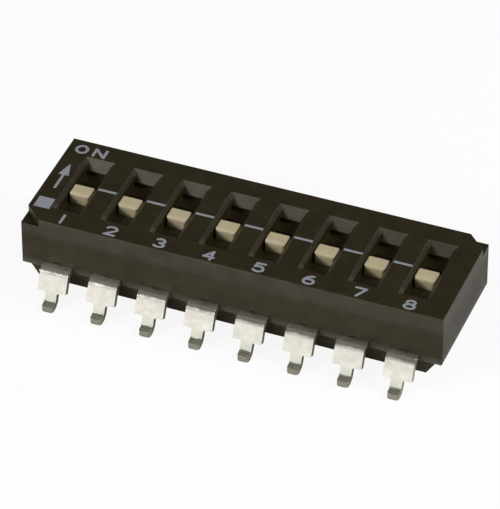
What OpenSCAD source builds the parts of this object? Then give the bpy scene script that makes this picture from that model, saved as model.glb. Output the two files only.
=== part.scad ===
// Surface-mount slide DIP switch, one slider per position.
// Millimetres. X runs along the row of switches, from switch 1 to the last one.
// +Y points to the closed (ON) side. Z = 0 is the plane on which the feet stand.

/* [Row] */
// Number of switches in the row
positions = 8; // [2:1:12]
// Distance from one switch to the next
pitch = 2.54; // [2.4:0.01:3]
// Distance from the centre of the last switch to the end face
end_margin = 1.91; // [1.7:0.01:2.6]

/* [Cover] */
// Width of the housing across the row
body_w = 6.6; // [6.2:0.1:8]
// Height of the top face above the board
top_z = 4.3; // [4.2:0.05:5]
// Height of the lower rim of the side walls above the board
rim_z = 1.4; // [1.2:0.05:1.5]
// Thickness of the long side walls
wall_t = 0.55; // [0.4:0.05:0.8]
// Thickness of the partitions between the switches
rib_t = 0.5; // [0.35:0.05:0.6]
// Thickness of the roof over the sliders, slot floor included
roof_t = 1.0; // [0.9:0.05:1.2]
// Radius of the upright corners
corner_r = 0.06; // [0.04:0.01:0.5]
// Radius of the rim round the top face
edge_r = 0.04; // [0.03:0.01:0.2]
// Radius of the rim round the underside of the cover
rim_r = 0.17; // [0.03:0.01:0.2]
// Leg of the corner that is cut off the top face at two opposite corners
corner_cut = 0.95; // [0.6:0.05:1.2]
// Depth of the ledge left by each cut corner
ledge_drop = 0.4; // [0.2:0.05:0.6]

/* [Slots] */
// Clear width of a slot below its bevelled rim
slot_w = 1.16; // [1.16:0.02:1.3]
// Width and depth of the 45 degree bevel along a slot's long sides
slot_bevel = 0.2; // [0.1:0.02:0.25]
// Length of a slot at the top face
slot_l = 4.34; // [4.1:0.02:4.8]
// Length of the ramp at each end of a slot
ramp_l = 0.45; // [0.3:0.05:0.7]
// Depth of the ramp at each end of a slot
ramp_h = 0.49; // [0.3:0.01:0.6]
// Thickness of the floor at the bottom of a slot
floor_t = 0.28; // [0.2:0.02:0.3]

/* [Sliders] */
// Width of the knob, along the row
knob_w = 1.04; // [0.8:0.02:1.04]
// Length of the knob, along its travel
knob_l = 0.82; // [0.6:0.02:1]
// Distance of the knob's middle behind the middle of its carrier
knob_shift = 0.15; // [0:0.01:0.2]
// Depth of the knob's top below the top face
knob_drop = 0.13; // [0:0.01:0.3]
// Radius along the knob's front and rear top edges
knob_r = 0.16; // [0.05:0.01:0.2]
// Radius along the knob's side top edges
knob_side_r = 0.1; // [0.03:0.01:0.15]
// Radius of the knob's upright corners
knob_corner_r = 0.14; // [0.05:0.01:0.2]
// Distance that a slider travels from OFF to ON
travel = 0.72; // [0.5:0.02:0.9]
// Gap between the knob and the window at each side
knob_side_gap = 0.04; // [0.03:0.01:0.05]
// Gap between the knob and the window at each end of the travel
knob_end_gap = 0.04; // [0.03:0.01:0.06]
// Length of the carrier under the knob
carrier_l = 3.0; // [2.8:0.1:3.6]
// Gap between the carrier and the partitions at each side
carrier_side_gap = 0.09; // [0.05:0.01:0.12]
// Gap between the carrier and the roof
carrier_top_gap = 0.04; // [0.02:0.01:0.06]
// Gap between the carrier and the deck of the base
carrier_low_gap = 0.23; // [0.15:0.01:0.3]
// Depth of the pocket under the carrier
pocket_h = 0.47; // [0.4:0.01:0.55]
// Thickness of the carrier's walls at the ends of the pocket
pocket_wall = 0.2; // [0.15:0.05:0.3]

/* [Contacts] */
// Thickness of the sprung contact strip
contact_t = 0.1; // [0.08:0.01:0.12]
// Width of the sprung contact strip
contact_w = 0.8; // [0.6:0.05:0.9]
// Gap between the contact strip and each side of its pocket
contact_gap = 0.1; // [0.05:0.01:0.15]
// Distance from the slider's centre to each contact tip
contact_reach = 0.8; // [0.7:0.02:0.9]
// Half the length of the strip's flat middle
contact_flat = 0.25; // [0.2:0.01:0.3]
// Outer radius of a contact tip
tip_r = 0.16; // [0.14:0.01:0.2]
// Angle through which a contact tip curls up past its lowest point
tip_curl = 60; // [30:5:80]
// Running gap between a contact tip and the pads
tip_gap = 0.01; // [0.005:0.005:0.02]

/* [Terminals] */
// Thickness of the terminal sheet
lead_t = 0.33; // [0.2:0.01:0.35]
// Width of a terminal where it leaves the housing
lead_w = 1.47; // [1.2:0.01:1.6]
// Width of the pad inside the housing
pad_w = 1.0; // [0.8:0.05:1.2]
// Length of the terminal's full width inside the deck
pad_root = 0.3; // [0.2:0.05:0.5]
// Length of the front pad past the place where its tip stops
pad_lap = 0.2; // [0.15:0.05:0.25]
// Width of the narrow neck and of the foot
foot_w = 0.59; // [0.5:0.01:0.8]
// Length of the flat of the foot, from the heel's bend to the toe
foot_l = 0.25; // [0.25:0.01:0.8]
// Radius of the foot's two outer corners, seen from above
toe_r = 0.15; // [0.05:0.01:0.24]
// Straight run outside the wall before the first bend
lead_run = 0.15; // [0.1:0.01:0.3]
// Inner radius of the first bend
bend_r = 0.15; // [0.1:0.01:0.25]
// Inner radius of the bend above the foot
heel_r = 0.2; // [0.1:0.01:0.3]
// Angle of the shank from the vertical
shank_angle = 24.5; // [10:0.5:28]
// Height at which the shank narrows to the neck
neck_z = 0.8; // [0.7:0.01:1]
// Gap round a terminal in the notch of the side wall
notch_gap = 0.03; // [0.02:0.01:0.05]
// Width of the small arch above each terminal
arch_w = 0.3; // [0.2:0.05:0.8]
// Height of the small arch above each terminal
arch_h = 0.1; // [0.1:0.05:0.3]

/* [Base] */
// Depth of the base below the rim of the cover
base_drop = 0.75; // [0.5:0.05:0.9]
// Distance that the long sides of the base stand back from the cover
base_setback = 0.2; // [0.1:0.05:0.4]
// Distance that the ends of the base stand back from the cover
base_end_setback = 0.35; // [0.3:0.05:0.8]
// Width of the bevel at each end of the base
base_bevel = 0.5; // [0.3:0.05:0.8]
// Height of the saddle on which each terminal leaves the base
saddle_h = 0.1; // [0.05:0.01:0.15]
// Gap between the raised deck of the base and the inside of the cover
deck_gap = 0.05; // [0.03:0.01:0.08]
// Reach of the snap ribs into the side walls
snap_reach = 0.1; // [0.06:0.01:0.15]
// Length of a snap rib
snap_l = 0.6; // [0.4:0.1:0.8]
// Side of the square window under each pad
window_w = 0.7; // [0.5:0.05:0.8]
// Width and length of the hollow under each switch
hollow_w = 1.5; // [1:0.1:1.8]
// Depth of the hollow under each switch
hollow_h = 0.45; // [0.2:0.05:0.6]

/* [Hidden] */
$fn = 48;
// Overshoot of a cutting body past the face that it cuts
over = 1;
// Lap of a straight piece of sheet into the bend next to it
lap = 0.02;
half_row = (positions - 1) * pitch / 2;
body_l = 2 * (half_row + end_margin);
rest_y = -travel / 2;

// Levels above the board
deck_z = rim_z + saddle_h + lead_t;
lead_low_z = deck_z - lead_t;
ceiling_z = top_z - roof_t;
slot_floor_z = ceiling_z + floor_t;
base_z = rim_z - base_drop;
carrier_top_z = ceiling_z - carrier_top_gap;
carrier_low_z = deck_z + carrier_low_gap;
pocket_top_z = carrier_low_z + pocket_h;
knob_top_z = top_z - knob_drop;

// Inside of the cover
cell_w = pitch - rib_t;
cell_l = body_w - 2 * wall_t;
cells_l = 2 * half_row + cell_w;
deck_l = cells_l - 2 * deck_gap;
deck_w = cell_l - 2 * deck_gap;
carrier_w = cell_w - 2 * carrier_side_gap;
pocket_w = contact_w + 2 * contact_gap;
window_l = travel + knob_l + 2 * knob_end_gap;

// Terminal bends, in the plane across the row: u points outwards and z up.
// The outer faces of the shank lean outwards by shank_angle.
bend_outer_r = bend_r + lead_t;
bend_c = [body_w / 2 + lead_run, deck_z - bend_outer_r];
shank_top = bend_c + bend_outer_r * [cos(shank_angle), sin(shank_angle)];
shank_l = (shank_top[1] - lead_t - heel_r * (1 - sin(shank_angle))) / cos(shank_angle);
shank_wide_l = (shank_top[1] - neck_z) / cos(shank_angle);
heel_c = [
    shank_top[0] + shank_l * sin(shank_angle) + heel_r * cos(shank_angle),
    lead_t + heel_r
];
// Inner ends of the pads: a front tip never leaves its pad, a rear tip
// crosses the edge of its pad halfway along the travel
front_pad_end = contact_reach - travel / 2 - pad_lap;
rear_pad_end = contact_reach;

// Contact arm: a line from the end of the flat, tangent to the middle of the tip's ring
flat_z = pocket_top_z - contact_t / 2;
tip_z = deck_z + tip_gap + tip_r;
tip_mid_r = tip_r - contact_t / 2;
arm_run = contact_reach - contact_flat;
arm_drop = flat_z - tip_z;
arm_reach = norm([arm_run, arm_drop]);
arm_angle = atan2(arm_drop, arm_run) + asin(tip_mid_r / arm_reach);
arm_l = sqrt(arm_reach * arm_reach - tip_mid_r * tip_mid_r);

function switch_x(n) = (n - 1) * pitch - half_row;
// Terminals count along the front row and back along the rear row
function terminal_switch(n) = n <= positions ? n : 2 * positions + 1 - n;

// ---------- helpers ----------

// A profile drawn in Y and Z, made into a bar of length l centred on X = 0
module along_x(l) {
    rotate([90, 0, 90])
        linear_extrude(l, center = true)
            children();
}

// A profile drawn in X and Z, made into a bar of length l centred on Y = 0
module along_y(l) {
    rotate([90, 0, 0])
        linear_extrude(l, center = true)
            children();
}

// A block centred on X and Y, from height z0 to height z1
module block(x, y, z0, z1) {
    translate([-x / 2, -y / 2, z0])
        cube([x, y, z1 - z0]);
}

// Rectangle with round corners, centred
module round_rect(l, w, r) {
    square([l - 2 * r, w], center = true);
    square([l, w - 2 * r], center = true);
    for (sx = [-1, 1])
        for (sy = [-1, 1])
            translate([sx * (l / 2 - r), sy * (w / 2 - r)])
                circle(r);
}

// Upright profile from z0 to z1, with lower corners of radius r0 and upper ones of r1
module round_bar(l, z0, z1, r0, r1) {
    translate([-l / 2, z0 + r0])
        square([l, z1 - r1 - z0 - r0]);
    translate([-l / 2 + r0, z0])
        square([l - 2 * r0, z1 - r1 - z0]);
    translate([-l / 2 + r1, z0 + r0])
        square([l - 2 * r1, z1 - z0 - r0]);
    for (s = [-1, 1]) {
        translate([s * (l / 2 - r0), z0 + r0])
            circle(r0);
        translate([s * (l / 2 - r1), z1 - r1])
            circle(r1);
    }
}

// Upright profile from z0 to z1 with its two upper corners rounded
module round_top(l, z0, z1, r) {
    translate([-l / 2, z0])
        square([l, z1 - z0 - r]);
    translate([-l / 2 + r, z0])
        square([l - 2 * r, z1 - z0]);
    for (s = [-1, 1])
        translate([s * (l / 2 - r), z1 - r])
            circle(r);
}

// Ring sector between two angles less than 180 degrees apart
module ring_sector(r_in, r_out, a0, a1) {
    far = 2 * r_out;
    mid = (a0 + a1) / 2;
    intersection() {
        difference() {
            circle(r_out);
            circle(r_in);
        }
        polygon([
            [0, 0],
            far * [cos(a0), sin(a0)],
            far * sqrt(2) * [cos(mid), sin(mid)],
            far * [cos(a1), sin(a1)]
        ]);
    }
}

// Repeats its children at every switch
module at_switches() {
    for (n = [1 : positions])
        translate([switch_x(n), 0, 0])
            children();
}

// Repeats its children at every terminal, with +Y pointing outwards
module at_terminals() {
    at_switches()
        for (turn = [0, 180])
            rotate([0, 0, turn])
                children();
}

// Repeats its children at every second partition, on both long sides
module at_snaps() {
    for (n = [1 : 2 : positions - 1])
        for (turn = [0, 180])
            translate([switch_x(n) + pitch / 2, 0, 0])
                rotate([0, 0, turn])
                    children();
}

// ---------- cover ----------

module cover_block() {
    intersection() {
        translate([0, 0, rim_z])
            linear_extrude(top_z - rim_z)
                round_rect(body_l, body_w, corner_r);
        along_y(body_w + 2 * over)
            round_bar(body_l, rim_z, top_z, rim_r, edge_r);
        along_x(body_l + 2 * over)
            round_bar(body_w, rim_z, top_z, rim_r, edge_r);
    }
}

// Cuts the front left and the rear right corner of the top down to a ledge
module corner_ledges() {
    for (turn = [0, 180])
        rotate([0, 0, turn])
            translate([-body_l / 2, -body_w / 2, top_z - ledge_drop])
                linear_extrude(ledge_drop + over)
                    polygon([
                        [-over, -over],
                        [corner_cut + over, -over],
                        [-over, corner_cut + over]
                    ]);
}

// Slot profile across its width: bevelled rim over straight sides
module slot_across() {
    translate([-slot_w / 2, slot_floor_z])
        square([slot_w, top_z - slot_floor_z + over]);
    polygon([
        [-slot_w / 2, top_z - slot_bevel],
        [slot_w / 2, top_z - slot_bevel],
        [slot_w / 2 + slot_bevel + over, top_z + over],
        [-slot_w / 2 - slot_bevel - over, top_z + over]
    ]);
}

// Slot profile along its length: a ramp at each end over straight ends
module slot_along() {
    lower_l = slot_l - 2 * ramp_l;
    rise = over * ramp_l / ramp_h;
    translate([-lower_l / 2, slot_floor_z])
        square([lower_l, top_z - slot_floor_z]);
    polygon([
        [-lower_l / 2, top_z - ramp_h],
        [lower_l / 2, top_z - ramp_h],
        [slot_l / 2 + rise, top_z + over],
        [-slot_l / 2 - rise, top_z + over]
    ]);
}

module slot() {
    intersection() {
        along_y(slot_l + 4 * over)
            slot_across();
        along_x(slot_w + 4 * over)
            slot_along();
    }
    // Window in the slot's floor, through which the knob stands up
    translate([0, knob_shift, 0])
        block(knob_w + 2 * knob_side_gap, window_l, ceiling_z - over, top_z);
}

// Notch through which a terminal leaves, with a small arch above the metal
module notch() {
    reach = wall_t + 2 * over;
    translate([0, body_w / 2 - wall_t / 2, 0]) {
        block(lead_w + 2 * notch_gap, reach, rim_z - over, deck_z + notch_gap);
        block(arch_w, reach, rim_z, deck_z + arch_h);
    }
}

// Wedge that snaps the base into the side wall; grow widens it into its groove
module snap_rib(grow) {
    root_y = deck_w / 2 - deck_gap;
    face_y = cell_l / 2 + snap_reach + grow;
    along_x(snap_l + 2 * grow)
        polygon([
            [root_y, rim_z + saddle_h / 2 - grow],
            [deck_w / 2, rim_z + saddle_h / 2 - grow],
            [face_y, rim_z + saddle_h - grow],
            [face_y, rim_z + saddle_h + snap_reach / 2 + grow],
            [deck_w / 2, deck_z + grow],
            [root_y, deck_z + grow]
        ]);
}

module cover() {
    color("#2a2621")
        difference() {
            cover_block();
            corner_ledges();
            at_switches() {
                slot();
                block(cell_w, cell_l, rim_z - over, ceiling_z);
            }
            block(cells_l, cell_l, rim_z - over, deck_z + deck_gap);
            at_terminals()
                notch();
            at_snaps()
                snap_rib(deck_gap);
        }
}

// ---------- base ----------

module base_flange() {
    top_l = body_l - 2 * base_end_setback;
    low_l = top_l - 2 * base_bevel;
    along_y(body_w - 2 * base_setback)
        polygon([
            [-low_l / 2, base_z],
            [low_l / 2, base_z],
            [top_l / 2, rim_z],
            [-top_l / 2, rim_z]
        ]);
}

// Block under each terminal where it crosses the rim of the cover
module saddle() {
    outer_y = body_w / 2 - base_setback;
    translate([-lead_w / 2, 0, rim_z])
        cube([lead_w, outer_y, saddle_h]);
}

module base() {
    color("#26221e")
        difference() {
            union() {
                base_flange();
                block(deck_l, deck_w, rim_z, deck_z);
                at_terminals()
                    saddle();
                at_snaps()
                    snap_rib(0);
            }
            // Beds of the moulded-in terminals
            for (n = [1 : 2 * positions])
                terminal_place(n)
                    terminal_inside(pad_end(n), over);
            // Windows below the pads and hollows below the switches
            at_terminals()
                translate([0, deck_w / 2 - window_w, 0])
                    block(window_w, window_w, base_z - over, lead_low_z);
            at_switches()
                block(hollow_w, hollow_w, base_z - over, base_z + hollow_h);
        }
}

// ---------- terminals ----------

function pad_end(n) = n <= positions ? front_pad_end : rear_pad_end;

// Puts a terminal drawn with +Y outwards at its place in the row
module terminal_place(n) {
    translate([switch_x(terminal_switch(n)), 0, 0])
        rotate([0, 0, n <= positions ? 180 : 0])
            children();
}

// Flat part inside the housing; above lets the same shape cut its bed open
module terminal_inside(inner_y, above) {
    root_y = deck_w / 2 - pad_root;
    translate([-pad_w / 2, inner_y, lead_low_z])
        cube([pad_w, root_y - inner_y, lead_t + above]);
    translate([-lead_w / 2, root_y, lead_low_z])
        cube([lead_w, bend_c[0] - root_y + lap, lead_t + above]);
}

// Shank profile between two distances from its top
module shank_profile(l0, l1) {
    translate(shank_top)
        rotate(shank_angle - 90)
            translate([l0, -lead_t])
                square([l1 - l0, lead_t]);
}

// Flat sole of the foot, with round corners at the toe
module sole() {
    sole_l = foot_l + lap;
    translate([0, heel_c[0] - lap, 0])
        linear_extrude(lead_t)
            intersection() {
                round_rect(foot_w, 2 * sole_l, toe_r);
                translate([-foot_w / 2, 0])
                    square([foot_w, sole_l]);
            }
}

module terminal(n) {
    color("#d9d6cf")
        terminal_place(n) {
            terminal_inside(pad_end(n), 0);
            along_x(lead_w) {
                translate(bend_c)
                    ring_sector(bend_r, bend_outer_r, shank_angle, 90);
                shank_profile(-lap, shank_wide_l);
            }
            along_x(foot_w) {
                shank_profile(0, shank_l + lap);
                translate(heel_c)
                    ring_sector(heel_r, heel_r + lead_t, 180 + shank_angle, 270);
            }
            sole();
        }
}

// ---------- sliders ----------

module knob() {
    translate([0, knob_shift, 0])
        intersection() {
            along_y(knob_l)
                round_top(knob_w, carrier_top_z, knob_top_z, knob_side_r);
            along_x(knob_w)
                round_top(knob_l, carrier_top_z, knob_top_z, knob_r);
            translate([0, 0, carrier_top_z])
                linear_extrude(knob_top_z - carrier_top_z)
                    round_rect(knob_w, knob_l, knob_corner_r);
        }
}

module slider(n) {
    color("#e6dcc0")
        translate([switch_x(n), rest_y, 0]) {
            knob();
            difference() {
                block(carrier_w, carrier_l, carrier_low_z, carrier_top_z);
                block(pocket_w, carrier_l - 2 * pocket_wall, carrier_low_z - over, pocket_top_z);
            }
        }
}

// ---------- contacts ----------

// Half of the strip's profile: flat, arm and upturned tip
module contact_half() {
    translate([0, flat_z - contact_t / 2])
        square([contact_flat, contact_t]);
    translate([contact_flat, flat_z]) {
        circle(contact_t / 2);
        rotate(-arm_angle)
            translate([0, -contact_t / 2])
                square([arm_l + lap, contact_t]);
    }
    translate([contact_reach, tip_z])
        ring_sector(tip_r - contact_t, tip_r, 270 - arm_angle, 270 + tip_curl);
}

module contact(n) {
    color("#d8b46a")
        translate([switch_x(n), rest_y, 0])
            along_x(contact_w) {
                contact_half();
                mirror([1, 0])
                    contact_half();
            }
}

cover();
base();
for (n = [1 : positions]) {
    slider(n);
    contact(n);
}
for (n = [1 : 2 * positions]) {
    terminal(n);
}
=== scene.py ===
"""Surface-mount slide DIP switch: finishes, terminals, printed marks and stage.

Lengths are in metres, in the part's own frame: X along the row of switches, +Y towards ON, Z up.
"""

import math

import bpy
import numpy as np
from bpy.props import FloatProperty, FloatVectorProperty, IntProperty, PointerProperty
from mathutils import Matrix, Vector


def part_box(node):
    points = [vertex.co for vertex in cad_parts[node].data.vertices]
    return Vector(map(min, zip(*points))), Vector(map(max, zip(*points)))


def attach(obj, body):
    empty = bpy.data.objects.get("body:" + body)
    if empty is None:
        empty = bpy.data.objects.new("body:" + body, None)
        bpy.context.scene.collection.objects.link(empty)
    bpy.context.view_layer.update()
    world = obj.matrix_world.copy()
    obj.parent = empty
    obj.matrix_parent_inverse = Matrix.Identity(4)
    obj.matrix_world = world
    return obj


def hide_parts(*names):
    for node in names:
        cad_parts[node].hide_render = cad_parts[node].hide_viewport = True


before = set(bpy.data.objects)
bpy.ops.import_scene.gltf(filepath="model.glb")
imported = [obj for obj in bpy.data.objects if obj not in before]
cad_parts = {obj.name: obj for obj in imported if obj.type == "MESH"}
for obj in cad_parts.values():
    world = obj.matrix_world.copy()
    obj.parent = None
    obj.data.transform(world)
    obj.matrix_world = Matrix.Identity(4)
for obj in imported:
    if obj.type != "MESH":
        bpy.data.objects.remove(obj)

bl_info = {
    "name": "Surface-mount slide DIP switch",
    "version": (1, 0, 0),
    "blender": (4, 5, 0),
    "location": "View3D > Sidebar > DIP switch",
    "description": "Finishes, terminals, printed marks and stage of a slide DIP switch",
    "category": "Object",
}

MM = 0.001
PLASTIC_IOR = 1.5
HOUSING = "housing"
COVER_LOW, COVER_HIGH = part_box("cover")
SWITCHES = sum(name.startswith("slider_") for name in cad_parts)
TERMINALS = sum(name.startswith("terminal_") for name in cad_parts)


def length(name, description, millimetres):
    """A length that the user may change, given in millimetres and stored in metres."""
    return FloatProperty(
        name=name,
        description=description,
        default=millimetres * MM,
        min=0.0,
        precision=6,
        subtype="DISTANCE",
        unit="LENGTH",
    )


def colour(name, description, value):
    """A colour that the user may change."""
    return FloatVectorProperty(
        name=name,
        description=description,
        default=value,
        size=3,
        min=0.0,
        max=1.0,
        subtype="COLOR",
    )


def share(name, description, value, least=0.0, most=1.0):
    """A plain number from least to most."""
    return FloatProperty(name=name, description=description, default=value, min=least, max=most)


def angle(name, description, degrees):
    """An angle that the user may change, given in degrees and stored in radians."""
    return FloatProperty(
        name=name,
        description=description,
        default=math.radians(degrees),
        min=0.0,
        max=math.pi / 2,
        subtype="ANGLE",
        unit="ROTATION",
    )


def heading(name, description, value):
    """A direction that the user may change."""
    return FloatVectorProperty(
        name=name, description=description, default=value, size=3, subtype="XYZ"
    )


# ---------- sizes and colours ----------


class TerminalSizes(bpy.types.PropertyGroup):
    """Sizes of the bent terminals that the solids' boxes don't give."""

    sheet: length("Sheet", "Thickness of the terminal sheet", 0.33)
    full_width: length("Full width", "Width where the terminal leaves the housing", 1.47)
    pad_width: length("Pad width", "Width of the pad inside the housing", 1.0)
    foot_width: length("Foot width", "Width of the neck and the foot", 0.59)
    root_depth: length("Root depth", "Reach of the full width into the housing", 0.9)
    foot_length: length("Foot length", "Flat of the foot, from the heel's bend to the toe", 0.25)
    bend: length("Upper bend", "Inner radius of the bend beside the housing", 0.15)
    heel: length("Heel", "Inner radius of the bend above the foot", 0.2)
    neck_height: length("Neck height", "Height at which the shank narrows", 0.8)
    shoulder_round: length("Shoulder", "Radius of the shank's two lower corners", 0.05)
    neck_fillet: length("Neck fillet", "Radius between the shoulder and the neck", 0.1)
    toe_round: length("Toe", "Radius of the foot's two corners", 0.15)
    edge_round: length("Edge", "Radius along the edges of the sheet", 0.02)
    edge_angle: angle("Edge angle", "Least angle of the edges that are rounded", 35.0)
    edge_steps: IntProperty(
        name="Edge steps", description="Faces across a rounded edge", default=3, min=1
    )
    lean: angle("Lean", "Angle of the shank from the vertical", 24.5)


class PrintSizes(bpy.types.PropertyGroup):
    """Sizes and places of the marks printed on the top face."""

    ink: length("Ink", "Thickness of the ink", 0.012)
    cell: length("Cell", "Grid spacing of the ink's surface", 0.02)
    stroke: length("Stroke", "Width of a letter's stroke", 0.15)
    digit_width: length("Digit width", "Width of a digit between stroke centres", 0.5)
    digit_height: length("Digit height", "Height of a digit between stroke centres", 0.6)
    digit_inset: length("Digit inset", "Middle of the digits from the front face", 0.5)
    digit_offset: length("Digit offset", "Middle of a digit right of its slot", 0.07)
    letter_size: length("Letter size", "Size of the letters between stroke centres", 0.55)
    letter_inset: length("Letter inset", "Middle of the letters from the rear face", 0.7)
    letter_start: length("Letter start", "Middle of the first letter from the left end", 0.73)
    letter_space: length("Letter space", "Distance between the letters' middles", 0.95)
    mark_inset: length("Mark inset", "Middle of the marks from the left end", 0.66)
    arrow_length: length("Arrow length", "Length of the arrow", 2.0)
    arrow_head: length("Arrow head", "Length of the arrow's head", 0.95)
    arrow_width: length("Arrow width", "Width of the arrow's head", 0.55)
    arrow_inset: length("Arrow inset", "Tip of the arrow from the rear face", 1.94)
    square: length("Square", "Side of the solid square", 0.82)
    square_inset: length("Square inset", "Middle of the square from the front face", 1.38)
    line_width: length("Line width", "Width of the line between the slots", 0.16)
    line_gap: length("Line gap", "Start of the line from a slot's middle", 0.79)
    line_inset: length("Line inset", "Middle of the line in front of the part's middle", 0.035)


class Finishes(bpy.types.PropertyGroup):
    """Colours and surface qualities of the materials."""

    housing: colour("Housing", "Moulded housing", (0.0135, 0.0090, 0.0006))
    housing_pale: colour("Housing, pale", "Paler patches of the housing", (0.0195, 0.0136, 0.0018))
    housing_sheen: colour("Housing sheen", "Tint of the housing's reflections", (1.0, 0.95, 0.84))
    # Painted highlight: the rim tone, far paler than the housing, paints the light along the
    # cover's lower edge
    rim: colour("Rim", "Rubbed lower rim of the cover", (0.058, 0.053, 0.043))
    base: colour("Base", "Moulded base between the terminals", (0.0190, 0.0145, 0.0045))
    base_pale: colour("Base, pale", "Paler patches of the base", (0.0240, 0.0185, 0.0065))
    knob: colour("Sliders", "Moulded sliders", (0.497, 0.432, 0.281))
    tin: colour("Tin", "Tin plating of the terminals", (0.98, 0.94, 0.84))
    # Painted shade: the foot tone is darker than the tin and stands in for the shadowed floor that
    # the lower sheet reflects
    foot: colour("Foot", "Tin plating near the board", (0.83, 0.83, 0.71))
    cut_edge: colour("Cut edge", "Stamped edges of the terminals", (0.50, 0.47, 0.38))
    # Painted shade: the stamped edges darken towards the board in the same way
    cut_foot: colour("Cut foot", "Stamped edges near the board", (0.34, 0.32, 0.26))
    gold: colour("Gold", "Gold plating of the contacts", (0.83, 0.62, 0.30))
    ink: colour("Ink", "Printed marks", (0.27, 0.285, 0.315))

    housing_rough: share("Housing roughness", "Roughness of the housing", 0.42)
    housing_shine: share("Housing shine", "Specular level of the housing", 0.49)
    high_gloss: share("High gloss", "Share of the shine above the band", 1.2, most=2.0)
    low_gloss: share("Low gloss", "Share of the shine below the band", 0.75)
    patch_gloss: share("Patch gloss", "Share of the shine that the patches add or take", 0.12)
    bevel_dull: share("Bevel dullness", "Share of the shine that the slots' bevels lack", 0.5)
    mottle: length("Mottle", "Size of the housing's light and dark patches", 0.9)
    grain: length("Grain", "Size of the mouldings' fine grain", 0.035)
    grain_depth: length("Grain depth", "Height of the housing's grain", 0.0015)
    grain_swing: share("Grain swing", "Roughness that the housing's grain adds or takes", 0.06)
    rim_height: length("Rim height", "Height at which the rubbed lower rim starts to fade", 1.55)
    band_height: length("Band height", "Height at which the walls turn glossier", 3.2)
    soft_band: length("Soft band", "Height over which a change along the wall fades", 0.4)
    ledge_height: length("Ledge height", "Height below which the ends look softer", 3.85)
    bevel_depth: length("Bevel depth", "Depth of the bevels along the slots", 0.2)
    bevel_reach: length("Bevel reach", "Half the length of the bevels along the slots", 1.7)
    bevel_fade: length("Bevel fade", "Distance over which the bevels' dullness fades", 0.02)
    soft_edge: length("Soft edge", "Radius that the light shows along the housing's edges", 0.03)
    soft_corner: length("Soft corner", "Radius that the light shows at the housing's ends", 0.25)

    knob_rough: share("Slider roughness", "Roughness of the sliders", 0.42)
    knob_swing: share("Slider swing", "Roughness that the sliders' grain adds or takes", 0.05)
    knob_tone: share("Slider tone", "Tone of the sliders' flow lines, as a share", 0.93)
    knob_clouds: length("Slider clouds", "Size of the sliders' faint flow lines", 0.5)
    knob_relief: length("Slider relief", "Height of the sliders' grain", 0.001)
    knob_edge: length("Slider edge", "Radius that the light shows along the sliders' edges", 0.12)
    knob_glow: share("Slider glow", "Share of the light that goes into a slider", 0.7)
    knob_depth: length("Slider depth", "Distance that light travels inside a slider", 0.2)
    knob_reach: colour("Slider reach", "Share of that distance by colour", (1.0, 0.7, 0.4))

    tin_rough: share("Tin roughness", "Roughness of the tin plating", 0.2)
    gold_rough: share("Gold roughness", "Roughness of the gold plating", 0.22)
    cut_rough: share("Cut roughness", "Roughness of the stamped edges", 0.5)
    cloud_tone: share("Cloud tone", "Tone of the plating's dull clouds, as a share", 0.84)
    cloud_dull: share("Cloud dullness", "Roughness that the plating's clouds add", 0.06)
    cloud_clear: share("Cloud clearness", "Roughness that the clearest plating lacks", 0.04)
    # Painted shade: the plating beside the housing is darkened to stand in for the dark wall that
    # the bend reflects
    root_tone: share("Root tone", "Tone of the plating beside the housing, as a share", 0.7)
    dull_root: share("Dull root", "Roughness that the plating gains beside the housing", 0.25)
    root_height: length("Root height", "Height at which the plating starts to turn dull", 1.77)
    root_fade: length("Root fade", "Height over which the plating turns dull", 0.06)
    foot_height: length("Foot height", "Height up to which the foot's tone reaches", 0.7)
    foot_fade: length("Foot fade", "Height over which the foot's tone fades", 0.2)
    clouds: length("Clouds", "Size of the plating's clouds", 0.4)
    waves: length("Waves", "Size of the sheet's waves", 0.9)
    wave_depth: length("Wave depth", "Height of the sheet's waves", 0.02)
    bloom: length("Bloom", "Size of the plating's fine grain", 0.02)
    bloom_depth: length("Bloom depth", "Height of the plating's fine grain", 0.0008)

    ink_rough: share("Ink roughness", "Roughness of the ink", 0.55)
    ink_tone: share("Ink tone", "Tone of the thinnest ink, as a share", 0.8)
    ink_grain: length("Ink grain", "Size of the ink's thin places", 0.05)
    ink_relief: length("Ink relief", "Height of the ink's grain", 0.001)


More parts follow.
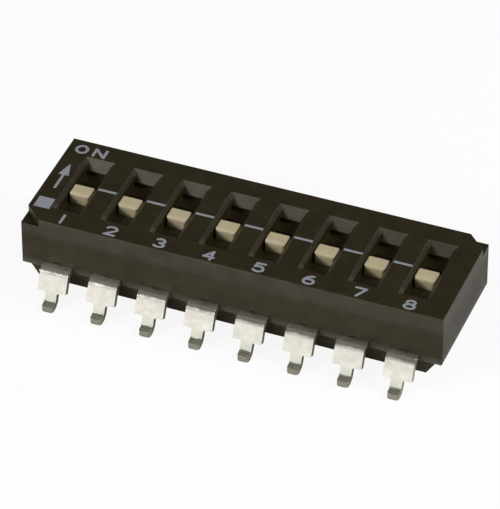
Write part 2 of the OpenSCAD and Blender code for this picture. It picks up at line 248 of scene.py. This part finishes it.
class StageSizes(bpy.types.PropertyGroup):
    """Camera, lamps and floor."""

    lens: FloatProperty(
        name="Lens",
        description="Focal length in millimetres",
        default=325.15,
        min=10.0,
        subtype="DISTANCE_CAMERA",
    )
    camera_distance: length("Camera distance", "Camera from the point it looks at", 223.6)
    turn: angle("Turn", "Camera's turn from the front towards the right", 21.358)
    rise: angle("Rise", "Camera's height in the sky", 38.954)
    aim: FloatVectorProperty(
        name="Aim",
        description="Point that the camera looks at",
        default=[coordinate * MM for coordinate in (-0.687, 1.196, 1.487)],
        size=3,
        precision=6,
        subtype="TRANSLATION",
        unit="LENGTH",
    )
    floor_size: length("Floor", "Side of the floor", 4000.0)
    lamp_distance: length("Lamp distance", "Lamps from the part", 260.0)
    key_size: length("Key size", "Side of the key lamp", 60.0)
    key_level: share("Key level", "Light of the key lamp on a face turned to it", 0.65, most=10.0)
    key_side: heading("Key side", "Direction of the key lamp", (-0.60, -0.65, 0.46))
    fill_size: length("Fill size", "Side of the fill lamp", 110.0)
    fill_level: share("Fill level", "Light of the fill on a face turned to it", 0.72, most=10.0)
    fill_side: heading("Fill side", "Direction of the fill lamp", (0.76, 0.12, 0.64))
    horizon: share("Horizon", "Brightness of the studio at the floor's level", 1.0, most=4.0)
    low_end: angle("Low end", "Height in the sky at which the bright low band fades", 5.0)
    low_top: angle("Low top", "Height in the sky at which the bright low band ends", 22.0)
    shade: share("Shade", "Brightness of the studio's darkest side", 0.06, most=4.0)
    front: heading("Front", "Direction towards which the studio turns bright", (0.0, -0.55, -0.45))
    front_first: share("Front first", "Lean to the front at which shade ends", -0.30, least=-1.0)
    front_last: share("Front last", "Lean to the front that is as bright as the horizon", 0.55)
    front_power: share("Front power", "Steepness of the rise towards the front", 3.0, most=10.0)
    zenith: share("Zenith", "Brightness of the studio straight above", 0.17, most=4.0)
    zenith_first: share("Zenith first", "Upward share at which the zenith's glow starts", 0.75)
    zenith_last: share("Zenith last", "Upward share at which the zenith's glow is full", 0.95)
    floor_tone: share("Floor tone", "Tone of the floor", 0.9)
    floor_white: share("Floor white", "Plain white in the floor that the camera sees", 0.9)


# ---------- meshes ----------


def new_piece(name, points, faces, body, slot, *materials):
    """A mesh object at the origin, riding on a body and finished with the given materials. The slot
    is not used.
    """
    mesh = bpy.data.meshes.new(name)
    mesh.from_pydata(points.tolist(), [], faces)
    mesh.update()
    piece = bpy.data.objects.new(name, mesh)
    bpy.context.scene.collection.objects.link(piece)
    for material in materials:
        mesh.materials.append(material)
    mesh.polygons.foreach_set("use_smooth", np.ones(len(mesh.polygons), bool))
    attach(piece, body)
    return piece


def arc(centre, radii, start, end, steps=12):
    """Points centre + (rx cos a, ry sin a) as the angle a runs from start to end, in degrees."""
    turns = np.radians(np.linspace(start, end, steps + 1))
    return np.array(centre) + np.column_stack([radii[0] * np.cos(turns), radii[1] * np.sin(turns)])


def tube_faces(rings, corners):
    """Quads between neighbouring rings of a closed section, and one face over each end."""
    ring, corner = np.meshgrid(np.arange(rings - 1), np.arange(corners), indexing="ij")
    ring, corner = ring.ravel(), corner.ravel()
    after = (corner + 1) % corners
    quads = np.column_stack([
        ring * corners + corner,
        (ring + 1) * corners + corner,
        (ring + 1) * corners + after,
        ring * corners + after,
    ])
    first = list(range(corners))
    last = list(range((rings - 1) * corners, rings * corners))[::-1]
    return quads.tolist() + [first, last]


# ---------- materials ----------


class Graph:
    """Writes the nodes of a new material, or of the tree that is given. A value may be a constant
    or another node's output."""

    def __init__(self, name="", tree=None):
        self.tree = tree
        if tree:
            return
        self.material = bpy.data.materials.new(name)
        self.material.use_nodes = True
        self.tree = self.material.node_tree
        self.tree.nodes.clear()
        output = self.tree.nodes.new("ShaderNodeOutputMaterial")
        self.surface = output.inputs["Surface"]

    def put(self, socket, value):
        """Links an output to the socket, or sets the socket's constant."""
        if isinstance(value, bpy.types.NodeSocket):
            self.tree.links.new(value, socket)
        else:
            socket.default_value = value

    def add(self, kind, values, out=0, **settings):
        """Adds a node, fills its inputs by name or number, and returns one output."""
        node = self.tree.nodes.new("ShaderNode" + kind)
        for key, value in settings.items():
            setattr(node, key, value)
        for key, value in values.items():
            self.put(node.inputs[key], value)
        return node.outputs[out]

    def place(self):
        """The part's own coordinates, in metres."""
        return self.add("TexCoord", {}, "Object")

    def along(self, axis):
        """One of the part's own coordinates. Z is the height above the board."""
        return self.add("SeparateXYZ", {0: self.place()}, axis)

    def noise(self, size, detail=2.0, roughness=0.5):
        """Noise from 0 to 1 with features of the given size."""
        values = {
            "Vector": self.place(),
            "Scale": 1.0 / size,
            "Detail": detail,
            "Roughness": roughness,
        }
        return self.add("TexNoise", values)

    def spread(self, fac, low, high, first=0.3, last=0.7):
        """Carries fac from first..last to low..high."""
        values = {
            "Value": fac,
            "From Min": first,
            "From Max": last,
            "To Min": low,
            "To Max": high,
        }
        return self.add("MapRange", values)

    def swing(self, fac, middle, reach):
        """Carries fac to middle - reach..middle + reach."""
        return self.spread(fac, middle - reach, middle + reach)

    def blend(self, fac, first, second):
        """Mixes two colours, each a constant or another node's output."""
        values = {"Factor": fac, 6: first, 7: second}
        for key in (6, 7):
            if not isinstance(values[key], bpy.types.NodeSocket):
                values[key] = (*values[key], 1.0)
        return self.add("Mix", values, 2, data_type="RGBA")

    def reckon(self, operation, *values):
        """Result of a sum, product or other step of arithmetic."""
        return self.add("Math", dict(enumerate(values)), operation=operation)

    def within(self, value, first, last, soft):
        """1 from first to last, falling to 0 over soft on either side."""
        rise = self.spread(value, 0.0, 1.0, first - soft, first)
        fall = self.spread(value, 1.0, 0.0, last, last + soft)
        return self.reckon("MULTIPLY", rise, fall)

    def relief(self, height, depth, normal=None):
        """Normal of a surface raised by height (0 to 1) times depth."""
        values = {"Height": height, "Distance": depth, "Strength": 1.0}
        if normal is not None:
            values["Normal"] = normal
        return self.add("Bump", values)

    def finish(self, values):
        """Ends the material in a Principled shader with the given inputs."""
        shader = self.add("BsdfPrincipled", values)
        self.tree.links.new(shader, self.surface)
        return self.material


def moulded(name, dark, light, rim, look):
    """Moulded thermoplastic: patches of two close tones, spark-eroded grain, light on soft edges
    that grow softer down the ends. The lower part of the walls and the bevels along the slots are
    less glossy. The rim over the terminals takes the rim tone, which on the cover is a painted
    highlight, far paler than the housing, for the light that its lower edge reflects."""
    graph = Graph(name)
    patches = graph.noise(look.mottle, 3.0, 0.6)
    grain = graph.noise(look.grain, 2.0)
    height = graph.along("Z")
    outwards = graph.reckon("ABSOLUTE", graph.along("X"))
    end = COVER_HIGH.x - look.soft_corner

    # Radius of the softened edges
    ends = graph.spread(outwards, 0.0, 1.0, end - look.soft_corner, end)
    walls = graph.spread(height, 1.0, 0.0, look.ledge_height - look.soft_corner, look.ledge_height)
    corners = graph.reckon("MULTIPLY", ends, walls)
    radius = graph.spread(corners, look.soft_edge, look.soft_corner, 0.0, 1.0)
    edges = graph.add("Bevel", {"Radius": radius}, samples=8)

    # Gloss of the walls, the patches and the bevels
    fade = look.bevel_fade
    top = COVER_HIGH.z
    level = graph.within(height, top - look.bevel_depth, top - 2 * fade, fade)
    inside = graph.within(graph.along("Y"), -look.bevel_reach, look.bevel_reach, fade)
    bevels = graph.reckon("MULTIPLY", level, inside)
    bevels = graph.reckon("MULTIPLY", bevels, graph.spread(outwards, 1.0, 0.0, end - fade, end))
    band_top = look.band_height + look.soft_band
    band = graph.spread(height, look.low_gloss, look.high_gloss, look.band_height, band_top)
    least, most = (look.housing_shine * (1 + sign * look.patch_gloss) for sign in (-1, 1))
    gloss = graph.reckon("MULTIPLY", band, graph.spread(patches, least, most))
    dulled = graph.spread(bevels, 1.0, 1.0 - look.bevel_dull, 0.0, 1.0)

    tone = graph.blend(graph.spread(patches, 0.0, 1.0), dark, light)
    # Painted highlight: below the rim height the cover takes the far paler rim tone, in place of
    # the light reflected along its lower edge
    highlit = graph.spread(height, 1.0, 0.0, look.rim_height, look.rim_height + look.soft_band)
    return graph.finish({
        "Base Color": graph.blend(highlit, tone, rim),
        "Roughness": graph.swing(grain, look.housing_rough, look.grain_swing),
        "Normal": graph.relief(grain, look.grain_depth, edges),
        "IOR": PLASTIC_IOR,
        "Specular IOR Level": graph.reckon("MULTIPLY", gloss, dulled),
        "Specular Tint": (*look.housing_sheen, 1.0),
    })


def ivory(name, tone, look):
    """Slider plastic: light passes a little way in, and flow lines cloud it faintly."""
    graph = Graph(name)
    clouds = graph.noise(look.knob_clouds, 2.0)
    grain = graph.noise(look.grain, 2.0)
    edges = graph.add("Bevel", {"Radius": look.knob_edge}, samples=8)
    deep = tuple(look.knob_tone * c for c in tone)
    return graph.finish({
        "Base Color": graph.blend(graph.spread(clouds, 0.0, 1.0), deep, tone),
        "Roughness": graph.swing(grain, look.knob_rough, look.knob_swing),
        "Normal": graph.relief(grain, look.knob_relief, edges),
        "Subsurface Weight": look.knob_glow,
        "Subsurface Radius": look.knob_reach,
        "Subsurface Scale": look.knob_depth,
        "IOR": PLASTIC_IOR,
    })


def plated(name, tone, rough, look, foot=None):
    """Plated sheet: slightly wavy and clouded, with a fine matt bloom. With a foot tone, that
    darker tone fades in towards the board as painted shade, and beside the housing the plating
    turns duller, and darker by painted shade."""
    graph = Graph(name)
    clouds = graph.noise(look.clouds, 3.0)
    waves = graph.noise(look.waves, 1.0)
    bloom = graph.noise(look.bloom, 2.0)
    dull = tuple(look.cloud_tone * c for c in tone)
    shade = graph.blend(graph.spread(clouds, 0.0, 1.0), dull, tone)
    dullness = graph.spread(clouds, rough + look.cloud_dull, rough - look.cloud_clear)
    if foot:
        height = graph.along("Z")
        foot_top = look.foot_height + look.foot_fade
        low = graph.spread(height, 1.0, 0.0, look.foot_height, foot_top)
        root_top = look.root_height + look.root_fade
        root = graph.spread(height, 0.0, 1.0, look.root_height, root_top)
        # Painted shade: the darker foot tone fades in towards the board
        shade = graph.blend(low, shade, foot)
        # Painted shade: the plating beside the housing darkens by the root share
        shade = graph.blend(root, shade, tuple(look.root_tone * c for c in tone))
        burnt = graph.reckon("MULTIPLY", root, look.dull_root)
        dullness = graph.reckon("ADD", dullness, burnt)
    return graph.finish({
        "Base Color": shade,
        "Metallic": 1.0,
        "Roughness": dullness,
        "Normal": graph.relief(bloom, look.bloom_depth, graph.relief(waves, look.wave_depth)),
    })


def printed(name, tone, look):
    """Pad-printed ink: thin enough in places for the dark plastic to dull it."""
    graph = Graph(name)
    cover = graph.noise(look.ink_grain, 3.0, 0.6)
    thin = tuple(look.ink_tone * c for c in tone)
    return graph.finish({
        "Base Color": graph.blend(graph.spread(cover, 0.0, 1.0), thin, tone),
        "Roughness": look.ink_rough,
        "Normal": graph.relief(cover, look.ink_relief),
    })


def dress(nodes, material):
    """Gives the named solids their material."""
    for name in nodes:
        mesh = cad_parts[name].data
        mesh.materials.clear()
        mesh.materials.append(material)


# ---------- terminals ----------


def sheet_line(inner, toe, deck, size):
    """Middle line of a bent terminal, as (outwards, up) points, and its upper side's normals.

    A level pad, an arc about c1 with radius R1 from 90 degrees down to the lean a, a straight shank
    along (sin a, -cos a), an arc about c2 with radius R2 from 180 + a to 270 degrees, a level foot.
    An arc point is c + R (cos, sin); its normal is (cos, sin) on the first and minus that on the
    second."""
    half = size.sheet / 2
    lean = math.degrees(size.lean)
    along = np.array([math.sin(size.lean), -math.cos(size.lean)])
    out = np.array([math.cos(size.lean), math.sin(size.lean)])
    upper_r, heel_r = size.bend + half, size.heel + half
    heel_c = np.array([toe - size.foot_length, half + heel_r])
    shank_end = heel_c - heel_r * out
    shank_length = (deck - half - upper_r + upper_r * out[1] - shank_end[1]) / -along[1]
    upper_c = shank_end - shank_length * along - upper_r * out
    bend = arc(upper_c, (upper_r, upper_r), 90, lean)
    heel = arc(heel_c, (heel_r, heel_r), 180 + lean, 270)
    points = np.vstack([[inner, deck - half], bend, heel, [toe, half]])
    normals = np.vstack([[0, 1], (bend - upper_c) / upper_r, (heel_c - heel) / heel_r, [0, 1]])
    return points, normals


def sheet_outline(stations, size):
    """Half width of the flat strip against the distance along it, as two rows of numbers.

    stations are the distances of the root, the shoulder and the toe. Corners are quarter circles:
    convex at the shoulder and the toe, concave where the shoulder meets the neck."""
    root, shoulder, toe = stations
    full, pad, foot = size.full_width / 2, size.pad_width / 2, size.foot_width / 2
    convex, concave, tip = size.shoulder_round, size.neck_fillet, size.toe_round
    return np.vstack([
        [[0.0, pad], [root, pad], [root, full]],
        arc((shoulder - convex, full - convex), (convex, convex), 90, 0, 5),
        arc((shoulder + concave, foot + concave), (concave, concave), 180, 270, 5),
        arc((toe - tip, foot - tip), (tip, tip), 90, 0, 8),
    ]).T


def terminal_surface(inner, toe, wall, deck, size):
    """Rings of four corners along a bent terminal, as an array (ring, corner, xyz).

    Corner = middle line point at distance s +- half width along X +- half the sheet along the
    normal. The rings stand at every point of the line and of the outline."""
    line, normals = sheet_line(inner, toe, deck, size)
    steps = np.hypot(*np.diff(line, axis=0).T)
    travelled = np.concatenate([[0.0], np.cumsum(steps)])
    bend_end = np.argmax(normals[:, 0])
    outer_height = line[bend_end, 1] + normals[bend_end, 1] * size.sheet / 2
    shoulder = travelled[bend_end] + (outer_height - size.neck_height) / math.cos(size.lean)
    stations = (wall - size.root_depth - inner, shoulder, travelled[-1])
    outline = sheet_outline(stations, size)
    extra = travelled[1:-1]
    distance = np.concatenate([outline[0], extra])
    half_width = np.concatenate([outline[1], np.interp(extra, *outline)])
    order = np.argsort(distance, kind="stable")
    distance, half_width = distance[order], half_width[order]
    middle = np.column_stack([np.interp(distance, travelled, axis) for axis in line.T])
    normal = np.column_stack([np.interp(distance, travelled, axis) for axis in normals.T])
    normal /= np.linalg.norm(normal, axis=1)[:, None]
    side = np.array([1, -1, -1, 1])
    level = np.array([1, 1, -1, -1]) * size.sheet / 2
    points = np.empty((len(distance), 4, 3))
    points[..., 0] = half_width[:, None] * side
    points[..., 1:] = middle[:, None] + normal[:, None] * level[:, None]
    return points


def make_terminal(name, size, tin, cut_edge):
    """One terminal in place of its solid, with rounded toe, filleted neck and eased edges."""
    low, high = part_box(name)
    rear = low.y > 0
    turn = 1.0 if rear else -1.0
    inner, toe = (low.y, high.y) if rear else (-high.y, -low.y)
    points = terminal_surface(inner, toe, COVER_HIGH.y, high.z, size)
    points[..., 0] *= turn
    points[..., 1] *= turn
    points[..., 0] += (low.x + high.x) / 2
    rings = len(points)
    piece = new_piece(
        name.replace("terminal", "tinned_terminal"),
        points.reshape(-1, 3),
        tube_faces(rings, 4),
        HOUSING,
        "terminal",
        tin,
        cut_edge,
    )
    # Quads go round the four sides in turn, then come the two ends
    side = np.arange(len(piece.data.polygons))
    stamped = (side % 2 == 1) | (side >= 4 * (rings - 1))
    piece.data.polygons.foreach_set("material_index", stamped.astype(np.int32))
    bevel = piece.modifiers.new("Eased edges", "BEVEL")
    bevel.width = size.edge_round
    bevel.segments = size.edge_steps
    bevel.limit_method = "ANGLE"
    bevel.angle_limit = size.edge_angle
    bevel.harden_normals = True
    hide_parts(name)


# ---------- printed marks ----------


def glyph(character):
    """Strokes of a letter or digit in a box of width 1 and height 1, each a row of points."""
    shapes = {
        "1": [[(0.5, 0.0), (0.5, 1.0)]],
        "2": [np.vstack([arc((0.5, 0.72), (0.5, 0.28), 160, -25), [(0.0, 0.0), (1.0, 0.0)]])],
        "3": [
            arc((0.46, 0.75), (0.42, 0.25), 150, -90),
            arc((0.46, 0.25), (0.5, 0.25), 90, -150),
        ],
        "4": [[(0.74, 0.0), (0.74, 1.0), (0.0, 0.3), (1.0, 0.3)]],
        "5": [np.vstack([
            [(0.95, 1.0), (0.15, 1.0), (0.08, 0.56)],
            arc((0.47, 0.33), (0.5, 0.33), 125, -150),
        ])],
        "6": [
            arc((1.0, 0.32), (1.0, 0.68), 102, 180),
            arc((0.5, 0.3), (0.5, 0.3), 0, 360, 20),
        ],
        "7": [[(0.0, 1.0), (1.0, 1.0), (0.35, 0.0)]],
        "8": [
            arc((0.5, 0.77), (0.4, 0.23), 0, 360, 20),
            arc((0.5, 0.27), (0.5, 0.27), 0, 360, 20),
        ],
        "9": [
            arc((0.0, 0.68), (1.0, 0.68), -78, 0),
            arc((0.5, 0.7), (0.5, 0.3), 0, 360, 20),
        ],
        "0": [arc((0.5, 0.5), (0.5, 0.5), 0, 360, 24)],
        "O": [arc((0.5, 0.5), (0.5, 0.5), 0, 360, 24)],
        "N": [[(0.0, 0.0), (0.0, 1.0), (1.0, 0.0), (1.0, 1.0)]],
    }
    return [np.array(stroke, float) for stroke in shapes[character]]


def set_glyph(character, centre, width, height):
    """Strokes of a character at its place on the top face."""
    corner = np.array(centre) - np.array([width, height]) / 2
    return [corner + stroke * [width, height] for stroke in glyph(character)]


def set_number(number, centre, size):
    """Strokes of a number, with its digits side by side about the centre."""
    text = str(number)
    step = size.digit_width + 2 * size.stroke
    first = centre[0] - step * (len(text) - 1) / 2
    strokes = []
    for place, digit in enumerate(text):
        middle = (first + place * step, centre[1])
        strokes += set_glyph(digit, middle, size.digit_width, size.digit_height)
    return strokes


def stroke_distance(points, stroke):
    """Distance of each point from a row of joined straight pieces.

    The nearest point of piece a to b is a + t (b - a), t = (p - a).(b - a) / |b - a|^2 held between
    0 and 1; the least of the distances over the pieces counts."""
    start, step = stroke[:-1], np.diff(stroke, axis=0)
    away = points[:, None] - start
    reach = (away * step).sum(-1) / (step * step).sum(-1)
    nearest = np.clip(reach, 0.0, 1.0)[..., None] * step
    return np.linalg.norm(away - nearest, axis=-1).min(1)


def polygon_distance(points, corners):
    """Signed distance from a convex polygon given anticlockwise: the greatest, over its sides, of
    the distance outwards from the side's line. It is negative inside."""
    side = np.roll(corners, -1, axis=0) - corners
    outward = np.column_stack([side[:, 1], -side[:, 0]])
    outward /= np.linalg.norm(outward, axis=1)[:, None]
    return ((points[:, None] - corners) * outward).sum(-1).max(1)


def mark_distance(points, mark):
    """Signed distance from a mark, a list of (half width, row of points). Half width 0 stands for a
    filled polygon. The least over the list counts."""
    fields = []
    for half_width, shape in mark:
        if half_width:
            fields.append(stroke_distance(points, shape) - half_width)
        else:
            fields.append(polygon_distance(points, shape))
    return np.min(fields, axis=0)


def ink_surface(mark, size, level):
    """Film of ink over one mark: points and quads.

    On a square grid the signed distance d from the mark's outline decides what is kept: cells whose
    corners' mean d is below 0. Grid points on the rim of the kept cells slide to p - d grad d, onto
    the outline. The upper side rises from the face as ink (1 - (1 - e)^2), e = -d / ink up to 1,
    and the under side lies a fifth of the ink's thickness inside the face."""
    reach = max(half for half, shape in mark) + 2 * size.cell
    every = np.vstack([shape for half, shape in mark])
    low, high = every.min(0) - reach, every.max(0) + reach
    counts = np.ceil((high - low) / size.cell).astype(int) + 1
    x = low[0] + size.cell * np.arange(counts[0])
    y = low[1] + size.cell * np.arange(counts[1])
    grid = np.stack(np.meshgrid(x, y, indexing="ij"), axis=-1)
    points = grid.reshape(-1, 2)
    field = mark_distance(points, mark).reshape(counts)
    slope = np.stack(np.gradient(field, size.cell), axis=-1).reshape(-1, 2)
    slope /= np.maximum(np.linalg.norm(slope, axis=1), 0.5)[:, None]
    kept = (field[:-1, :-1] + field[1:, :-1] + field[1:, 1:] + field[:-1, 1:]) < 0
    number = np.arange(points.shape[0]).reshape(counts)
    corners = [number[:-1, :-1], number[1:, :-1], number[1:, 1:], number[:-1, 1:]]
    quads = np.column_stack([c[kept] for c in corners])
    uses = np.bincount(quads.ravel(), minlength=len(points))
    rim = (uses > 0) & (uses < 4)
    depth = field.ravel()
    points = np.where(rim[:, None], points - depth[:, None] * slope, points)
    rise = 1.0 - (1.0 - np.clip(-depth / size.ink, 0.0, 1.0)) ** 2
    upper = np.column_stack([points, np.where(rim, level, level + size.ink * rise)])
    lower = np.column_stack([points, np.full(len(points), level - size.ink / 5)])
    under = np.where(rim, np.arange(len(points)), np.arange(len(points)) + len(points))
    faces = np.vstack([quads, under[quads][:, ::-1]])
    used, packed = np.unique(faces, return_inverse=True)
    return np.vstack([upper, lower])[used], packed.reshape(faces.shape)


def make_print(name, marks, size, material):
    """One printed piece out of several marks."""
    points, faces, count = [], [], 0
    for mark in marks:
        new_points, new_faces = ink_surface(mark, size, COVER_HIGH.z)
        points.append(new_points)
        faces.append(new_faces + count)
        count += len(new_points)
    new_piece(name, np.vstack(points), np.vstack(faces).tolist(), HOUSING, "cover", material)


def switch_x(number):
    """Middle of a switch along the row."""
    low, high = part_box(f"slider_{number}")
    return (low.x + high.x) / 2


def strokes_of(shapes, width):
    """A mark made of strokes of one width."""
    return [(width / 2, shape) for shape in shapes]


# ---------- operators ----------


class DIPSWITCH_OT_housing(bpy.types.Operator):
    """Finish the cover and the base as matt black-brown mouldings"""

    bl_idname = "dip_switch.housing"
    bl_label = "Housing"

    def execute(self, context):
        look = context.scene.dip_finishes
        # The third tone paints a highlight along the cover's lower rim
        tones = (look.housing, look.housing_pale, look.rim)
        dress(["cover"], moulded("black_brown_moulding", *tones, look))
        tones = (look.base, look.base_pale, look.base)
        dress(["base"], moulded("black_base_moulding", *tones, look))
        return {"FINISHED"}


class DIPSWITCH_OT_sliders(bpy.types.Operator):
    """Finish the sliders as ivory mouldings and their contacts as gold-plated strip"""

    bl_idname = "dip_switch.sliders"
    bl_label = "Sliders and contacts"

    def execute(self, context):
        look = context.scene.dip_finishes
        numbers = range(1, SWITCHES + 1)
        dress([f"slider_{n}" for n in numbers], ivory("ivory_moulding", look.knob, look))
        gold = plated("gold_plated_strip", look.gold, look.gold_rough, look)
        dress([f"contact_{n}" for n in numbers], gold)
        return {"FINISHED"}


class DIPSWITCH_OT_terminals(bpy.types.Operator):
    """Make the bent, tin-plated terminals in place of their solids"""

    bl_idname = "dip_switch.terminals"
    bl_label = "Terminals"

    def execute(self, context):
        look = context.scene.dip_finishes
        # The foot tones paint shade on the plating towards the board
        tin = plated("tin_plated_sheet", look.tin, look.tin_rough, look, look.foot)
        edge = plated("stamped_edge", look.cut_edge, look.cut_rough, look, look.cut_foot)
        for number in range(1, TERMINALS + 1):
            make_terminal(f"terminal_{number}", context.scene.dip_terminals, tin, edge)
        return {"FINISHED"}


class DIPSWITCH_OT_print(bpy.types.Operator):
    """Print the switch numbers, ON, the arrow, the square and the line between the slots"""

    bl_idname = "dip_switch.print"
    bl_label = "Printed marks"

    def execute(self, context):
        size = context.scene.dip_print
        look = context.scene.dip_finishes
        ink = printed("grey_blue_ink", look.ink, look)
        make_print("printed_numbers", self.numbers(size), size, ink)
        make_print("printed_on_mark", self.on_mark(size), size, ink)
        make_print("printed_middle_line", self.middle_line(size), size, ink)
        return {"FINISHED"}

    def numbers(self, size):
        """The number of each switch, in front of its slot."""
        y = COVER_LOW.y + size.digit_inset
        marks = []
        for number in range(1, SWITCHES + 1):
            centre = (switch_x(number) + size.digit_offset, y)
            marks.append(strokes_of(set_number(number, centre, size), size.stroke))
        return marks

    def on_mark(self, size):
        """ON over an arrow that points to it, and a solid square in front of them."""
        x = COVER_LOW.x + size.letter_start
        y = COVER_HIGH.y - size.letter_inset
        side = size.letter_size
        letters = []
        for i, letter in enumerate("ON"):
            strokes = set_glyph(letter, (x + i * size.letter_space, y), side, side)
            letters.append(strokes_of(strokes, size.stroke))
        x = COVER_LOW.x + size.mark_inset
        tip = COVER_HIGH.y - size.arrow_inset
        neck = tip - size.arrow_head
        tail = tip - size.arrow_length
        head = [(x, tip), (x - size.arrow_width / 2, neck), (x + size.arrow_width / 2, neck)]
        arrow = [
            (0.0, np.array(head)),
            (size.stroke / 2, np.array([(x, neck), (x, tail)])),
        ]
        middle = COVER_LOW.y + size.square_inset
        side = size.square / 2
        corners = [(-side, -side), (side, -side), (side, side), (-side, side)]
        square = [(0.0, np.array(corners) + [x, middle])]
        return [*letters, arrow, square]

    def middle_line(self, size):
        """The line along the middle of the top face, broken by the slots."""
        marks = []
        for number in range(1, SWITCHES):
            start = switch_x(number) + size.line_gap
            end = switch_x(number + 1) - size.line_gap
            side = size.line_width / 2
            corners = np.array([(start, -side), (end, -side), (end, side), (start, side)])
            marks.append([(0.0, corners - [0.0, size.line_inset])])
        return marks


class DIPSWITCH_OT_stage(bpy.types.Operator):
    """Set up the pale floor, the studio light and the camera"""

    bl_idname = "dip_switch.stage"
    bl_label = "Stage"

    def execute(self, context):
        size = context.scene.dip_stage
        self.floor(context, size)
        self.studio(context, size)
        self.lamp(context, size, "key", size.key_side, size.key_size, size.key_level)
        self.lamp(context, size, "fill", size.fill_side, size.fill_size, size.fill_level)
        self.camera(context, size)
        context.scene.view_settings.view_transform = "Standard"
        return {"FINISHED"}

    def floor(self, context, size):
        """A level pale floor that can be looked through from below."""
        side = size.floor_size / 2
        mesh = bpy.data.meshes.new("floor")
        corners = [(-side, -side, 0), (side, -side, 0), (side, side, 0), (-side, side, 0)]
        mesh.from_pydata(corners, [], [(0, 1, 2, 3)])
        floor = bpy.data.objects.new("floor", mesh)
        context.scene.collection.objects.link(floor)
        graph = Graph("pale_floor")
        seen = graph.add("LightPath", {}, "Is Camera Ray")
        lift = graph.reckon("MULTIPLY", seen, size.floor_white)
        matt = graph.add("BsdfDiffuse", {"Color": (*[size.floor_tone] * 3, 1.0)})
        white = graph.add("Emission", {"Color": (1.0, 1.0, 1.0, 1.0), "Strength": 1.0})
        top = graph.add("MixShader", {0: lift, 1: matt, 2: white})
        behind = graph.add("NewGeometry", {}, "Backfacing")
        clear = graph.add("BsdfTransparent", {})
        graph.tree.links.new(graph.add("MixShader", {0: behind, 1: top, 2: clear}), graph.surface)
        mesh.materials.append(graph.material)

    def studio(self, context, size):
        """A studio that is bright all round at the level of the floor and towards the front below
        it, darker above and behind, with a faint glow overhead. Each direction has the greatest of
        the three lights. The camera sees plain white in its place."""
        world = bpy.data.worlds.new("studio")
        context.scene.world = world
        world.use_nodes = True
        graph = Graph(tree=world.node_tree)
        direction = graph.add("TexCoord", {}, "Generated")
        lean = {0: direction, 1: size.front}
        front = graph.add("VectorMath", lean, "Value", operation="DOT_PRODUCT")
        front = graph.spread(front, 0.0, 1.0, size.front_first, size.front_last)
        front = graph.reckon("POWER", front, size.front_power)
        front = graph.spread(front, size.shade, size.horizon, 0.0, 1.0)
        height = graph.add("SeparateXYZ", {0: direction}, "Z")
        low_ends = math.sin(size.low_end), math.sin(size.low_top)
        low = graph.spread(height, size.horizon, 0.0, *low_ends)
        low.node.interpolation_type = "SMOOTHSTEP"
        glow = graph.spread(height, size.shade, size.zenith, size.zenith_first, size.zenith_last)
        light = graph.reckon("MAXIMUM", front, low)
        light = graph.reckon("MAXIMUM", light, glow)
        seen = graph.add("LightPath", {}, "Is Camera Ray")
        background = graph.tree.nodes["Background"].inputs
        graph.put(background["Strength"], graph.reckon("MAXIMUM", light, seen))
        graph.put(background["Color"], (1.0, 1.0, 1.0, 1.0))

    def lamp(self, context, size, name, direction, side, level):
        """A square lamp. A face turned to it gets pi W/m2 times the level: an area lamp of P watts
        gives P / (pi d^2) at distance d."""
        data = bpy.data.lights.new(name, "AREA")
        data.size = side
        data.energy = level * math.pi**2 * size.lamp_distance**2
        lamp = bpy.data.objects.new(name, data)
        direction = Vector(direction).normalized()
        lamp.location = direction * size.lamp_distance
        lamp.rotation_euler = direction.to_track_quat("Z", "Y").to_euler()
        context.scene.collection.objects.link(lamp)

    def camera(self, context, size):
        """A long lens from the front right, above the part."""
        data = bpy.data.cameras.new("camera")
        data.lens = size.lens
        data.clip_start = size.camera_distance / 100
        camera = bpy.data.objects.new("camera", data)
        level = math.cos(size.rise)
        back = Vector((
            math.sin(size.turn) * level, -math.cos(size.turn) * level, math.sin(size.rise)
        ))
        camera.location = Vector(size.aim) + back * size.camera_distance
        camera.rotation_euler = back.to_track_quat("Z", "Y").to_euler()
        context.scene.collection.objects.link(camera)
        context.scene.camera = camera


class DIPSWITCH_PT_panel(bpy.types.Panel):
    """Buttons and sizes of the DIP switch in the 3D view's sidebar"""

    bl_idname = "DIPSWITCH_PT_panel"
    bl_label = "DIP switch"
    bl_space_type = "VIEW_3D"
    bl_region_type = "UI"
    bl_category = "DIP switch"

    def draw(self, context):
        for operator in OPERATORS:
            self.layout.operator(operator.bl_idname)
        for group in SETTINGS:
            box = self.layout.box()
            box.label(text=group)
            for name in SETTINGS[group].__annotations__:
                box.prop(getattr(context.scene, group), name)


OPERATORS = (
    DIPSWITCH_OT_housing,
    DIPSWITCH_OT_sliders,
    DIPSWITCH_OT_terminals,
    DIPSWITCH_OT_print,
    DIPSWITCH_OT_stage,
)
SETTINGS = {
    "dip_terminals": TerminalSizes,
    "dip_print": PrintSizes,
    "dip_finishes": Finishes,
    "dip_stage": StageSizes,
}


def register():
    """Registers the classes and hangs the settings on the scene."""
    for group in (*SETTINGS.values(), *OPERATORS, DIPSWITCH_PT_panel):
        bpy.utils.register_class(group)
    for name, group in SETTINGS.items():
        setattr(bpy.types.Scene, name, PointerProperty(type=group))


def unregister():
    """Takes the settings off the scene and removes the classes."""
    for name in SETTINGS:
        delattr(bpy.types.Scene, name)
    for group in reversed((*SETTINGS.values(), *OPERATORS, DIPSWITCH_PT_panel)):
        bpy.utils.unregister_class(group)


def main():
    """Makes everything in order."""
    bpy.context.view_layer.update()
    register()
    bpy.ops.dip_switch.housing()
    bpy.ops.dip_switch.sliders()
    bpy.ops.dip_switch.terminals()
    bpy.ops.dip_switch.print()
    bpy.ops.dip_switch.stage()


if __name__ == "__main__":
    main()
